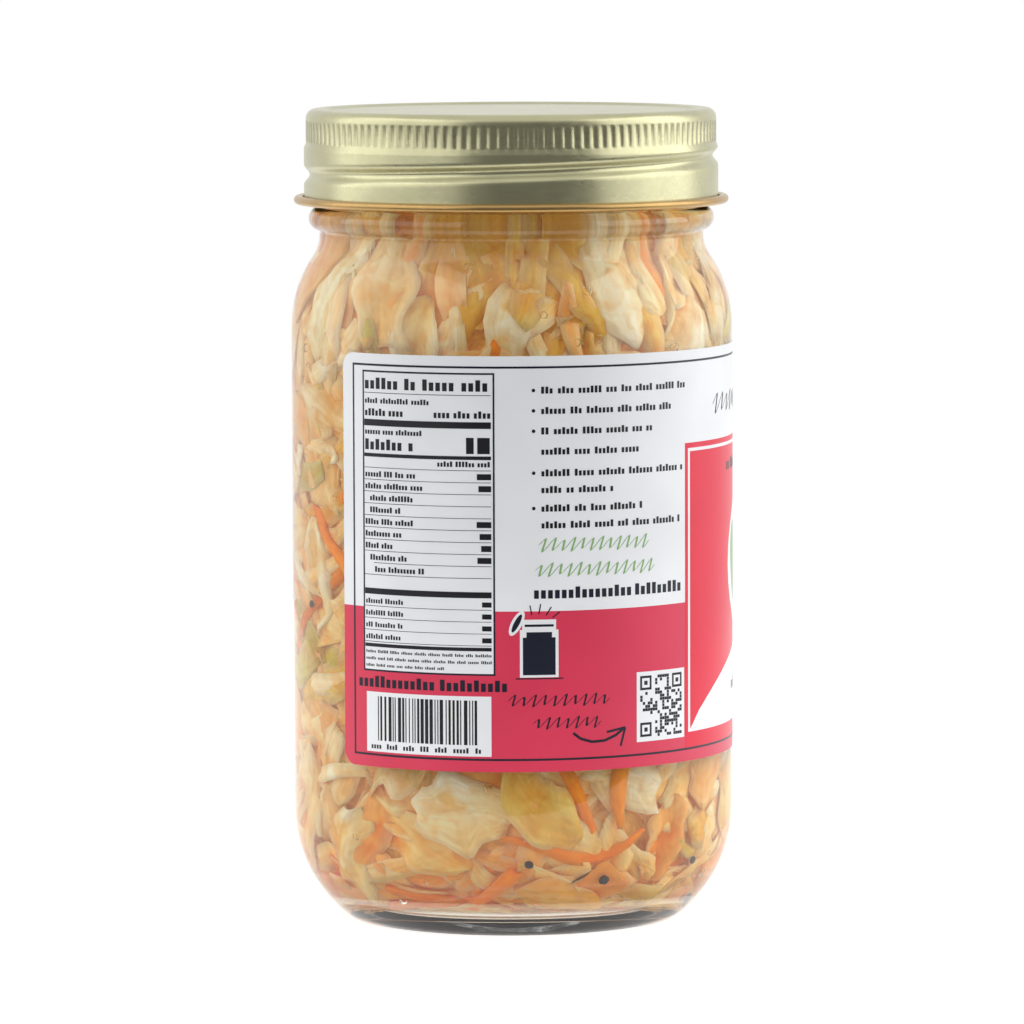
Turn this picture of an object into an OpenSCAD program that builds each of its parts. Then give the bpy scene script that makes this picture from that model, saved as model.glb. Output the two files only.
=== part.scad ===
// Pint jar of packed sauerkraut: clear glass jar, rolled metal screw cap, paper wrap label.
// The origin is the bottom centre, +Z is up and -Y is the front of the label's side panel.

/* [Glass body] */
// Outer diameter of the straight wall
body_d = 75.5; // [70:0.5:110]
// Height of the glass rim
jar_h = 137.8; // [110:0.1:220]
// Thickness of the glass wall
wall_t = 2.5; // [1.8:0.1:3.5]
// Height of the floor inside the jar
floor_h = 4.5; // [3.5:0.1:8]
// Radius of the rounded heel outside
heel_r = 23; // [16:0.5:28]
// Distance from the straight wall in to the ring that the jar stands on
foot_inset = 9.2; // [6:0.1:12]
// Width of the ring that the jar stands on
foot_w = 2.55; // [1:0.05:4]
// Radius of the rounded corner between the floor and the wall inside
inner_heel_r = 12; // [4:0.5:14]
// Depth of the hollow under the base
pushup_h = 2; // [0.5:0.1:2.5]

/* [Shoulder and neck] */
// Radius of the shoulder
shoulder_r = 21; // [14:0.5:26]
// Radius of the hollow fillet between the shoulder and the neck
neck_fillet_r = 6.4; // [3:0.1:9]
// Straight neck between the fillet and the glass ring
neck_len = 0.76; // [0.2:0.02:6]
// Distance that the neck stands in from the root of the thread
neck_inset = 0.45; // [0:0.05:1]

/* [Glass finish] */
// Diameter at the root of the glass thread
finish_d = 66.6; // [50:0.1:68]
// Distance that the glass ring stands out from the root of the thread
ring_out = 1.4; // [0.6:0.1:2]
// Height of the glass ring
ring_t = 4.2; // [2:0.1:5.2]
// Clearance between the glass ring and the cap's rolled edge
ring_gap = 0.3; // [0.2:0.1:1.5]
// Radius of the rounded edges of the rim
lip_r = 1.1; // [0.4:0.1:1.3]
// Height of the glass thread above its root
thread_t = 1.2; // [0.6:0.1:1.6]
// Width of the glass thread at its crest
thread_crest_w = 1; // [0.6:0.1:1.4]
// Width of the glass thread at its root
thread_w = 2.8; // [1.8:0.1:3.4]
// Rise of the thread in one turn
thread_pitch = 6.35; // [5:0.05:8]
// Length of the thread in turns
thread_turns = 1; // [0.75:0.05:1.25]

/* [Cap] */
// Thickness of the cap's sheet metal
sheet_t = 0.2; // [0.15:0.05:0.4]
// Gap between the rim and the cap's raised edge, for the sealing compound
seal_gap = 0.5; // [0.4:0.05:0.8]
// Clearance between the glass thread's crest and the skirt
thread_gap = 0.75; // [0.5:0.05:1]
// Depth of the rolled thread groove
groove_depth = 1; // [0.6:0.1:1.2]
// Width of the rolled thread groove
groove_w = 3.4; // [2.4:0.1:4]
// Height of the groove's lower end above the bottom of the cap
groove_z = 3.4; // [3.2:0.1:5]
// Direction of the groove's lower end, seen from above
groove_start = 90; // [0:5:355]
// Rise from the cap's groove to the glass thread that it grips
thread_lift = 1.8; // [1.7:0.05:2.2]
// Distance from the groove's upper end up to the knurls
groove_to_knurl = 0.65; // [0.3:0.05:3]
// Number of knurls
knurl_count = 132; // [60:1:160]
// Distance that the knurls stand in from the skirt
knurl_inset = 0.35; // [0.1:0.05:0.4]
// Depth of the grooves between the knurls
knurl_depth = 0.25; // [0.1:0.05:0.3]
// Height of the knurled band
knurl_h = 4; // [2:0.1:6]
// Plain height between the knurls and the rounded top edge
knurl_rest = 0.2; // [0.1:0.1:2]
// Radius of the cap's top edge
cap_corner_r = 1.6; // [0.8:0.1:2]
// Width of the raised edge round the top
edge_w = 1.7; // [0.5:0.1:4]
// Width of the slope round the sunken panel
panel_slope_w = 0.6; // [0.3:0.1:1]
// Depth of the sunken panel
panel_drop = 0.35; // [0.1:0.05:0.4]
// Distance that the rolled edge stands out from the skirt
curl_out = 1.75; // [1.4:0.05:2.5]
// Height of the rolled edge
curl_h = 1.44; // [1.2:0.02:2]
// Gap between the skirt and the cut end of the roll
curl_slit = 0.3; // [0.1:0.1:0.5]

/* [Label] */
// Bare glass between the heel and the label
label_below = 10.6; // [1:0.1:30]
// Bare glass between the label and the shoulder
label_above = 2.8; // [0.5:0.1:30]
// Thickness of the label
label_t = 0.12; // [0.08:0.01:0.3]
// Thickness of the glue line between the label and the glass
glue_t = 0.02; // [0.01:0.01:0.1]
// Angle that the label wraps
label_wrap = 309; // [120:1:340]
// Direction of the label's left end, seen from above
label_start = 219; // [0:1:359]
// Radius of the label's corners
label_corner_r = 2.5; // [1:0.1:6]

/* [Sauerkraut] */
// Gap between the sauerkraut and the glass
fill_gap = 0.3; // [0.05:0.05:0.5]
// Distance from the rim down to the brine
fill_drop = 10; // [6:0.5:16]
// Number of tufts of cabbage that stand above the brine
tuft_count = 8; // [3:1:14]
// Radius of a tuft's rounded top
tuft_r = 11; // [8:0.5:14]
// Height of the tallest tuft above the brine
tuft_rise = 1.4; // [0.5:0.1:1.6]

/* [Hidden] */
$fn = 128;
over = 1;
turn_step = 7.5;
skirt_step = 0.8;

// Radii of the glass
body_r = body_d / 2;
foot_r = body_r - foot_inset;
finish_r = finish_d / 2;
neck_r = finish_r - neck_inset;
neck_in_r = neck_r - wall_t;
ring_r = finish_r + ring_out;

// Radii of the cap, from the glass that it grips
skirt_r = finish_r + thread_t + thread_gap + sheet_t;
knurl_r = skirt_r - knurl_inset;
edge_r = knurl_r - cap_corner_r;
panel_r = edge_r - edge_w - panel_slope_w;
curl_r = skirt_r + curl_out;

// Heights of the cap, down from the rim
cap_top = jar_h + seal_gap + sheet_t;
knurl_z = cap_top - cap_corner_r - knurl_rest - knurl_h;
cap_z = knurl_z - groove_to_knurl - thread_pitch * thread_turns - groove_z;

// Heights of the glass, down from the cap
ring_z = cap_z - ring_gap - ring_t / 2;
neck_z = ring_z - ring_t / 2 - neck_len;
shoulder_turn = acos(1 - (body_r - neck_r) / (shoulder_r + neck_fillet_r));
shoulder_z = neck_z - (shoulder_r + neck_fillet_r) * sin(shoulder_turn);
heel_h = sqrt(pow(heel_r, 2) - pow(heel_r - foot_inset, 2));

// Heights of the label and the filling
label_z = heel_h + label_below;
label_h = shoulder_z - label_above - label_z;
brine_z = jar_h - fill_drop;

// Smooth rise from 0 to 1 over the first and last parts of a thread
function run_out(turned, whole, part = 25) =
    let (edge = min(turned, whole - turned) / part)
    edge >= 1 ? 1 : (1 - cos(180 * max(edge, 0))) / 2;

// Point at a radius, a direction and a height
function polar(r, a, z) = [r * cos(a), r * sin(a), z];

// Solid through a row of rings that all have as many points
module skin(rings) {
    n = len(rings[0]);
    m = len(rings);
    polyhedron(
        points = [for (ring = rings) each ring],
        faces = concat(
            [[for (i = [0 : n - 1]) i]],
            [[for (i = [n - 1 : -1 : 0]) (m - 1) * n + i]],
            [for (k = [0 : m - 2], i = [0 : n - 1])
                let (a = k * n + i, b = k * n + (i + 1) % n)
                each [[a, a + n, b], [b, a + n, b + n]]]
        )
    );
}

// Points along an arc of a half section, with its centre at a radius and a height
function arc(cr, cz, r, a0, a1, step = 3) =
    let (n = ceil(abs(a1 - a0) / step))
    [for (i = [0 : n])
        let (a = a0 + (a1 - a0) * i / n)
        [cr + r * cos(a), cz + r * sin(a)]];

// Inner outline from the neck down to the axis, moved in from the glass by gap
function inner_outline(gap) =
    let (inset = wall_t + gap, heel = inner_heel_r - gap)
    concat(
        arc(neck_r + neck_fillet_r, neck_z, neck_fillet_r + inset, 180, 180 + shoulder_turn),
        arc(body_r - shoulder_r, shoulder_z, shoulder_r - inset, shoulder_turn, 0),
        arc(body_r - inset - heel, floor_h + inner_heel_r, heel, 0, -90),
        [[0, floor_h + gap]]
    );

// Outer outline from the middle of the base up to the glass ring
function outer_outline() =
    let (
        hollow_r = foot_r - foot_w,
        dome_r = (pow(hollow_r, 2) + pow(pushup_h, 2)) / (2 * pushup_h)
    )
    concat(
        arc(0, pushup_h - dome_r, dome_r, 90, acos(hollow_r / dome_r), 1),
        arc(body_r - heel_r, heel_h, heel_r, -asin(heel_h / heel_r), 0),
        arc(body_r - shoulder_r, shoulder_z, shoulder_r, 0, shoulder_turn),
        arc(neck_r + neck_fillet_r, neck_z, neck_fillet_r, 180 + shoulder_turn, 180)
    );

// Outline of the glass ring, the thread wall and the rounded rim
function finish_outline() =
    let (
        bead_r = ring_t / 2,
        bead_cr = ring_r - bead_r
    )
    concat(
        arc(bead_cr, ring_z, bead_r,
            -acos((neck_r - bead_cr) / bead_r), acos((finish_r - bead_cr) / bead_r), 8),
        arc(finish_r - lip_r, jar_h - lip_r, lip_r, 0, 90, 15),
        arc(neck_in_r + lip_r, jar_h - lip_r, lip_r, 90, 180, 15)
    );

// Glass thread, one ring of four corners at each step
module glass_thread() {
    whole = 360 * thread_turns;
    root_r = finish_r - 0.5;
    skin([for (t = [0 : turn_step : whole])
        let (
            crest_r = finish_r - 0.1 + (thread_t + 0.1) * run_out(t, whole),
            a = groove_start + t,
            z = cap_z + groove_z + thread_lift + thread_pitch * t / 360
        )
        [
            polar(root_r, a, z - thread_w / 2),
            polar(crest_r, a, z - thread_crest_w / 2),
            polar(crest_r, a, z + thread_crest_w / 2),
            polar(root_r, a, z + thread_w / 2)
        ]
    ]);
}

module jar() {
    color([0.82, 0.88, 0.86, 0.45]) {
        rotate_extrude() {
            polygon(concat(outer_outline(), finish_outline(), inner_outline(0)));
        }
        glass_thread();
    }
}

// Rolled thread groove of the cap, moved inwards by inset
module cap_groove(inset) {
    whole = 360 * thread_turns;
    steps = 6;
    skin([for (t = [0 : turn_step : whole])
        let (
            deep = (groove_depth + 0.1) * run_out(t, whole),
            a = groove_start + t,
            z = cap_z + groove_z + thread_pitch * t / 360
        )
        concat(
            [polar(skirt_r + over, a, z + groove_w / 2)],
            [polar(skirt_r + over, a, z - groove_w / 2)],
            [for (i = [0 : steps])
                let (u = i / steps - 0.5)
                polar(skirt_r - inset + 0.1 - deep * pow(cos(180 * u), 2), a, z + u * groove_w)]
        )
    ]);
}

// Material to leave out between the knurls, moved inwards by inset
module knurl_cut(inset) {
    p = 360 / knurl_count;
    top_r = knurl_r - inset + 0.05;
    translate([0, 0, knurl_z]) linear_extrude(knurl_h) {
        difference() {
            circle(r = knurl_r + over);
            polygon([for (i = [0 : knurl_count - 1]) each [
                [top_r * cos((i - 0.3) * p), top_r * sin((i - 0.3) * p)],
                [top_r * cos((i + 0.3) * p), top_r * sin((i + 0.3) * p)],
                [(top_r - knurl_depth - 0.05) * cos((i + 0.5) * p),
                 (top_r - knurl_depth - 0.05) * sin((i + 0.5) * p)]
            ]]);
        }
    }
}

// Cap as if solid down to low_z, moved inwards by inset
module cap_form(inset, low_z) {
    difference() {
        rotate_extrude() {
            polygon(concat(
                [[0, low_z]],
                [[skirt_r - inset, low_z]],
                [[skirt_r - inset, knurl_z - skirt_step]],
                [[knurl_r - inset, knurl_z]],
                arc(edge_r, cap_top - cap_corner_r, cap_corner_r - inset, 0, 90, 10),
                [[panel_r + panel_slope_w, cap_top - inset]],
                [[panel_r, cap_top - panel_drop - inset]],
                [[0, cap_top - panel_drop - inset]]
            ));
        }
        cap_groove(inset);
        knurl_cut(inset);
    }
}

// Section of the rolled edge: a flattened roll, open beside the skirt
module curl_section() {
    in_r = skirt_r - sheet_t;
    difference() {
        roll_outline(in_r, curl_r, cap_z, curl_h);
        roll_outline(in_r + sheet_t, curl_r - sheet_t, cap_z + sheet_t, curl_h - 2 * sheet_t);
        translate([skirt_r, cap_z + curl_h / 2]) square([curl_slit, curl_h]);
    }
}

// Bar with round ends between two radii
module roll_outline(r0, r1, z0, h) {
    translate([r0 + h / 2, z0]) square([r1 - r0 - h, h]);
    for (r = [r0 + h / 2, r1 - h / 2]) {
        translate([r, z0 + h / 2]) circle(d = h);
    }
}

module lid() {
    color([0.78, 0.76, 0.58]) {
        difference() {
            cap_form(0, cap_z + curl_h / 2);
            cap_form(sheet_t, cap_z - over);
        }
        rotate_extrude() curl_section();
    }
}

// Waste outside one rounded corner of the label, whose arc stops just short of the edges
module corner_waste(side, up) {
    short = 8;
    reach = label_corner_r * (1 - sin(short));
    mirror([side < 0 ? 1 : 0, 0]) mirror([0, up < 0 ? 1 : 0]) {
        polygon(concat(
            [[-over, reach]],
            [[-over, -over]],
            [[reach, -over]],
            arc(label_corner_r, label_corner_r, label_corner_r, 270 - short, 180 + short, 12)
        ));
    }
}

module label() {
    color([0.88, 0.3, 0.38]) {
        difference() {
            rotate([0, 0, label_start]) rotate_extrude(angle = label_wrap) {
                translate([body_r + glue_t, label_z]) square([label_t, label_h]);
            }
            for (side = [1, -1], up = [1, -1]) {
                rotate([0, 0, label_start + (side < 0 ? label_wrap : 0)]) {
                    translate([body_r - over, 0, label_z + (up < 0 ? label_h : 0)]) {
                        rotate([90, 0, 90]) linear_extrude(3 * over) corner_waste(side, up);
                    }
                }
            }
        }
    }
}

// One tuft of cabbage, kept inside the neck
module tuft(i) {
    rise = tuft_rise * (0.55 + 0.45 * pow(sin(i * 71), 2));
    out = (neck_in_r - 7) * sqrt((i + 0.4) / tuft_count);
    intersection() {
        translate(polar(out, i * 137.5, brine_z + rise - tuft_r)) sphere(r = tuft_r);
        translate([0, 0, brine_z - over]) cylinder(r = neck_in_r - over, h = tuft_r);
    }
}

module kraut() {
    color([0.86, 0.74, 0.5]) {
        rotate_extrude() {
            polygon(concat(
                [[0, brine_z]],
                [[neck_in_r - fill_gap, brine_z]],
                inner_outline(fill_gap)
            ));
        }
        for (i = [0 : tuft_count - 1]) {
            tuft(i);
        }
    }
}

jar();
lid();
label();
kraut();
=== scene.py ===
"""Pint jar of packed sauerkraut: glass, brine, shreds, rolled screw cap and wrap label."""
import math

import bmesh
import bpy
import numpy as np
from bpy.props import FloatProperty, FloatVectorProperty, IntProperty, PointerProperty
from bpy.types import Operator, Panel, PropertyGroup
from mathutils import Matrix, Vector


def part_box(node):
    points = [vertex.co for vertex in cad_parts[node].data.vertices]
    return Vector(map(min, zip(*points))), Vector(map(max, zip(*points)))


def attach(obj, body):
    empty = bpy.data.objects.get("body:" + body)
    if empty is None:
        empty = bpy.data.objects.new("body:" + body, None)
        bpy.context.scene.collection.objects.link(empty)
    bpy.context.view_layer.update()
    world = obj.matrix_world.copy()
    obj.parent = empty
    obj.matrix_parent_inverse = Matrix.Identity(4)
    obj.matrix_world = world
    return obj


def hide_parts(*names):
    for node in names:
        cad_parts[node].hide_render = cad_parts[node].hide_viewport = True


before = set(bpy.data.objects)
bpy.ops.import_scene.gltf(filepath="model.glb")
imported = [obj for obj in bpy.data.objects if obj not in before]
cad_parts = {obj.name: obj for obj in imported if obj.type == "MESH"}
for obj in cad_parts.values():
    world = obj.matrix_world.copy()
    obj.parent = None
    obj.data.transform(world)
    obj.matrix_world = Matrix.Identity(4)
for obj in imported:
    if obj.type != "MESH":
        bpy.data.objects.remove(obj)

bl_info = {
    "name": "Sauerkraut Jar",
    "version": (1, 0, 0),
    "blender": (4, 5, 0),
    "location": "View3D > Sidebar > Jar",
    "description": "Builds a glass jar of pickled cabbage with its cap, label and studio",
    "category": "Object",
}

MM = 0.001
TAU = 2 * math.pi
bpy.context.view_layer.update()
JAR_LOW, JAR_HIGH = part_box("jar")
LID_LOW, LID_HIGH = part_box("lid")
LABEL_LOW, LABEL_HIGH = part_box("label")
GLASS_IOR, BRINE_IOR = 1.52, 1.34
WET_TISSUE_IOR = 1.08       # soaked tissue against brine, which hides most of its gloss


# ---------------------------------------------------------------- settings

def linear(hex_code):
    """Linear colour of an sRGB hex code."""
    parts = [int(hex_code[i:i + 2], 16) / 255 for i in (1, 3, 5)]
    return tuple(c / 12.92 if c <= 0.04045 else ((c + 0.055) / 1.055) ** 2.4 for c in parts)


def length(name, description, mm):
    """Length setting, given in millimetres."""
    return FloatProperty(name=name, description=description, default=mm * MM,
                         min=0, unit="LENGTH", subtype="DISTANCE", precision=5)


def colour(name, description, hex_code):
    """Colour setting, given as an sRGB hex code."""
    return FloatVectorProperty(name=name, description=description, default=linear(hex_code),
                               size=3, min=0, max=1, subtype="COLOR")


def whole(name, description, default, low=1):
    """Whole number setting."""
    return IntProperty(name=name, description=description, default=default, min=low)


def bearing(name, description, degrees):
    """Angle setting, given in degrees."""
    return FloatProperty(name=name, description=description, default=math.radians(degrees),
                         unit="ROTATION", subtype="ANGLE")


def wattage(name, description, watts):
    """Power setting of a light, in watts."""
    return FloatProperty(name=name, description=description, default=watts, unit="POWER")


class JarGlassSettings(PropertyGroup):
    body_r: length("Body radius", "Outer radius of the straight wall", JAR_HIGH.x / MM)
    rim_z: length("Rim height", "Height of the glass rim", JAR_HIGH.z / MM)
    wall: length("Wall", "Thickness of the glass wall", 2.5)
    floor_z: length("Floor", "Height of the floor inside", 4.5)
    heel_r: length("Heel", "Radius of the heel outside", 23)
    inner_heel_r: length("Inner heel", "Radius between floor and wall inside", 12)
    foot_inset: length("Foot inset", "From the wall in to the standing ring", 9.2)
    foot_w: length("Foot width", "Width of the standing ring", 2.55)
    hollow: length("Hollow", "Depth of the hollow under the base", 2)
    shoulder_r: length("Shoulder", "Radius of the shoulder", 21)
    fillet_r: length("Neck fillet", "Hollow radius between shoulder and neck", 6.4)
    neck_r: length("Neck", "Outer radius of the neck", 32.85)
    neck_z: length("Neck height", "Height where the neck fillet ends", 117.04)
    ring_r: length("Ring", "Radius over the glass ring", 34.7)
    ring_h: length("Ring height", "Height of the glass ring", 4.2)
    ring_z: length("Ring level", "Height of the ring's middle", 119.9)
    finish_r: length("Finish", "Radius at the root of the thread", 33.3)
    lip_r: length("Lip", "Radius of the rim's edges", 1.1)
    thread_out: length("Thread", "Height of the glass thread", 1.2)
    thread_z: length("Thread start", "Height of the thread's lower end", 127.5)
    pitch: length("Pitch", "Rise of the thread in one turn", 6.35)
    steps: whole("Steps", "Steps round the jar", 240, 24)
    tint: colour("Glass", "Colour of the glass", "#F9FCFA")


class JarFillSettings(PropertyGroup):
    brine_z: length("Brine level", "Height of the brine", 127.8)
    reach: length("Reach", "How far the brine reaches into the wall", 0.1)
    lift: length("Lift", "How far the brine stops above the flat floor", 0.03)
    depth: length("Shred depth", "Room for shreds between glass and core", 3.4)
    strips: whole("Strips", "Cabbage strips tried", 1900, 10)
    leaves: whole("Leaves", "Leaf pieces tried", 900, 5)
    carrots: whole("Carrots", "Carrot shreds tried", 300, 2)
    berries: whole("Specks", "Dark spice specks", 12)
    bubbles: whole("Bubbles", "Gas bubbles on the glass", 46)
    seed: whole("Seed", "Start of the random packing", 11, 0)
    brine: colour("Brine", "Colour of the brine", "#FEF8EE")
    cream: colour("Cream", "Most of the cabbage", "#FFE6C6")
    blush: colour("Blush", "Cabbage stained by the carrot", "#FFC88E")
    pale: colour("Pale", "Ribs and hearts", "#FFF8F0")
    gold: colour("Gold", "Golden cabbage", "#F2CE78")
    olive: colour("Olive", "Green outer leaves", "#D2C860")
    carrot: colour("Carrot", "Carrot shreds", "#FF9A1C")
    dark: colour("Spice", "Dark spice specks", "#34262A")
    deep: colour("Depths", "Packed middle seen between the shreds", "#E2A04E")


class JarCapSettings(PropertyGroup):
    top_z: length("Top", "Height of the cap's top", LID_HIGH.z / MM)
    low_z: length("Bottom", "Height of the cap's lower edge", LID_LOW.z / MM)
    curl_r: length("Rolled edge", "Radius over the rolled edge", LID_HIGH.x / MM)
    skirt_r: length("Skirt", "Radius of the skirt", 35.45)
    sheet: length("Sheet", "Thickness of the tinplate", 0.2)
    knurl_r: length("Knurl", "Radius over the knurls", 35.1)
    knurl_z: length("Knurl level", "Height where the knurls start", 132.7)
    knurl_h: length("Knurl height", "Height of the knurled band", 4)
    knurl_depth: length("Knurl depth", "Depth of the grooves between knurls", 0.25)
    knurls: whole("Knurls", "Number of knurls", 132, 12)
    corner_r: length("Corner", "Radius of the top edge", 1.6)
    panel_r: length("Panel", "Radius of the sunken panel", 31.2)
    panel_drop: length("Panel depth", "Depth of the sunken panel", 0.35)
    groove: length("Groove", "Depth of the rolled thread groove", 1)
    groove_w: length("Groove width", "Width of the rolled thread groove", 3.4)
    groove_z: length("Groove start", "Height of the groove's lower end", 125.7)
    pitch: length("Pitch", "Rise of the groove in one turn", 6.35)
    curl_h: length("Roll height", "Height of the rolled edge", 1.44)
    rolled: colour("Rolled edge", "Lacquer worn to tan on the rolled edge", "#B8965F")
    lacquer: colour("Lacquer", "Tinplate seen through its lacquer", "#BFBC97")


class JarLabelSettings(PropertyGroup):
    paper_r: length("Paper radius", "Radius over the paper", 37.85)
    ink_r: length("Ink radius", "Radius over the print", 37.88)
    low_z: length("Lower edge", "Height of the label's lower edge", LABEL_LOW.z / MM)
    high_z: length("Upper edge", "Height of the label's upper edge", LABEL_HIGH.z / MM)
    split_z: length("Split", "Height where white turns into red", 56)
    corner_r: length("Corner", "Radius of the label's corners", 2.5)
    trim: length("Trim", "How much shorter the paper is cut at its left end", 1.7)
    start: bearing("Left end", "Direction of the left end from -Y", -51)
    wrap: bearing("Wrap", "Angle that the label covers", 309)
    red: colour("Red", "Coral red field", "#D63654")
    bright: colour("Bright red", "Red of the front panels", "#E01038")
    white: colour("White", "Unprinted paper", "#EBEDF0")
    navy: colour("Navy", "Navy print", "#0F1528")
    black: colour("Dark", "Dark print", "#14141B")
    green: colour("Green", "Green print", "#86AE70")
    leaf: colour("Leaf", "Light green print", "#9CC27E")
    heart: colour("Heart", "Pale green print", "#BAD69A")


class JarStudioSettings(PropertyGroup):
    left_power: wattage("Left box", "Power of the left softbox", 8.4)
    right_power: wattage("Right box", "Power of the right softbox", 10.0)
    floor_r: length("Floor", "Radius of the floor", 340)
    floor: colour("Floor colour", "Pale floor", "#AFAFAE")
    floor_glow: FloatProperty(name="Floor glow", description="Keeps the floor white",
                              default=0.78, min=0)


# ---------------------------------------------------------------- mesh tools

def arc(cr, cz, r, start, stop, step=4.0):
    """Points of an arc of a half section, from a start to a stop angle in degrees."""
    n = max(1, math.ceil(abs(stop - start) / step))
    angles = [math.radians(start + (stop - start) * i / n) for i in range(n + 1)]
    return [(cr + r * math.cos(a), cz + r * math.sin(a)) for a in angles]


def fine(points, step):
    """The same outline with no part longer than step."""
    out = [points[0]]
    for (r0, z0), (r1, z1) in zip(points, points[1:]):
        n = max(1, math.ceil(math.hypot(r1 - r0, z1 - z0) / step))
        out += [(r0 + (r1 - r0) * i / n, z0 + (z1 - z0) * i / n) for i in range(1, n + 1)]
    return out


def spin(points, steps):
    """Surface of an outline turned round the Z axis, with its poles closed."""
    bm = bmesh.new()
    verts = [bm.verts.new((r, 0, z)) for r, z in points]
    edges = [bm.edges.new(pair) for pair in zip(verts, verts[1:])]
    bmesh.ops.spin(bm, geom=verts + edges, cent=(0, 0, 0), axis=(0, 0, 1), angle=TAU,
                   steps=steps, use_merge=True, use_duplicate=False)
    bmesh.ops.remove_doubles(bm, verts=bm.verts, dist=1e-7)
    bmesh.ops.recalc_face_normals(bm, faces=bm.faces)
    return bm


def make_piece(bm, name, materials, node=None):
    """Object of a bmesh that rides on the jar and takes the place of a CAD node."""
    mesh = bpy.data.meshes.new(name)
    bm.to_mesh(mesh)
    bm.free()
    mesh.shade_smooth()
    return mesh_piece(mesh, name, materials, node)


def mesh_piece(mesh, name, materials, node=None):
    """Object of a finished mesh, with its materials."""
    for material in materials:
        mesh.materials.append(material)
    piece = bpy.data.objects.new(name, mesh)
    bpy.context.scene.collection.objects.link(piece)
    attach(piece, "root")
    if node:
        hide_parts(node)
    return piece


def smooth_rise(x):
    """Soft step from 0 to 1."""
    x = min(max(x, 0), 1)
    return (1 - math.cos(math.pi * x)) / 2


# ---------------------------------------------------------------- materials

def add(tree, kind, settings=None, links=None):
    """New node with its settings, by socket or by property, and its incoming links."""
    node = tree.nodes.new(kind)
    for key, value in (settings or {}).items():
        if isinstance(key, int) or key in node.inputs:
            node.inputs[key].default_value = value
        else:
            setattr(node, key, value)
    for key, source in (links or {}).items():
        tree.links.new(source, node.inputs[key])
    return node


def new_material(name):
    """Empty node material and its tree."""
    material = bpy.data.materials.new(name)
    material.use_nodes = True
    tree = material.node_tree
    tree.nodes.clear()
    return material, tree


def rgba(values):
    return (*values[:3], 1)


def shade(base, factor, lift=0.0):
    """A colour made lighter or darker."""
    return rgba([min(1, c * factor + lift) for c in base])


def ramp(tree, source, low, high, dark, light):
    """Source spread from dark to light between two levels."""
    spread = add(tree, "ShaderNodeMapRange", {1: low, 2: high, 3: 0, 4: 1}, {0: source})
    return add(tree, "ShaderNodeMix", {"data_type": "RGBA", 6: dark, 7: light},
               {0: spread.outputs[0]}).outputs[2]


def noise(tree, size, detail=2.0, along=None, unit=MM, distortion=0.0):
    """Noise with grains of a real size, in Object coordinates unless others are given."""
    along = along or add(tree, "ShaderNodeTexCoord").outputs["Object"]
    return add(tree, "ShaderNodeTexNoise",
               {"Scale": 1 / (size * unit), "Detail": detail, "Distortion": distortion},
               {"Vector": along}).outputs[0]


def relief(tree, height, strength, mm, under=None):
    """Bump of a depth in millimetres, on top of a coarser one where given."""
    links = {"Height": height, "Normal": under} if under else {"Height": height}
    return add(tree, "ShaderNodeBump", {"Strength": strength, "Distance": mm * MM},
               links).outputs[0]


def surface(tree, settings, links):
    """Principled shader as the whole surface of a material."""
    shader = add(tree, "ShaderNodeBsdfPrincipled", settings, links)
    add(tree, "ShaderNodeOutputMaterial", None, {0: shader.outputs[0]})


def multiply(tree, first, second):
    """Two colours multiplied."""
    return add(tree, "ShaderNodeMix", {"data_type": "RGBA", "blend_type": "MULTIPLY", 0: 1.0},
               {6: first, 7: second}).outputs[2]


def clear_material(name, tint, ior, ripple_mm, ripple, shine=1.0):
    """Clear body that light also reaches through, with slow ripples in its surface."""
    material, tree = new_material(name)
    body = add(tree, "ShaderNodeBsdfPrincipled",
               {"Base Color": rgba(tint), "Roughness": 0.0, "IOR": ior,
                "Specular Tint": (shine, shine, shine, 1), "Transmission Weight": 1.0},
               {"Normal": relief(tree, noise(tree, ripple_mm, 1.0), 1.0, ripple)})
    through = add(tree, "ShaderNodeBsdfTransparent", {"Color": rgba(tint)})
    path = add(tree, "ShaderNodeLightPath")
    mix = add(tree, "ShaderNodeMixShader", None,
              {0: path.outputs["Is Shadow Ray"], 1: body.outputs[0], 2: through.outputs[0]})
    add(tree, "ShaderNodeOutputMaterial", None, {0: mix.outputs[0]})
    return material


def flint_glass(tint):
    """Clear flint glass, blown in a mould and fire polished: bright edges, faint ripples."""
    return clear_material("flint_glass_blown", tint, GLASS_IOR, 14.0, 0.012)


def wetted_glass(tint):
    """The same glass where brine wets it: almost no gloss, as both bend light alike."""
    return clear_material("flint_glass_wetted", tint, GLASS_IOR, 14.0, 0.012, 0.08)


def cabbage_brine(tint):
    """Salty cabbage juice with a golden tint: fills the gaps between shreds with colour."""
    return clear_material("cabbage_brine", tint, BRINE_IOR, 9.0, 0.01, 0.12)


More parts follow.
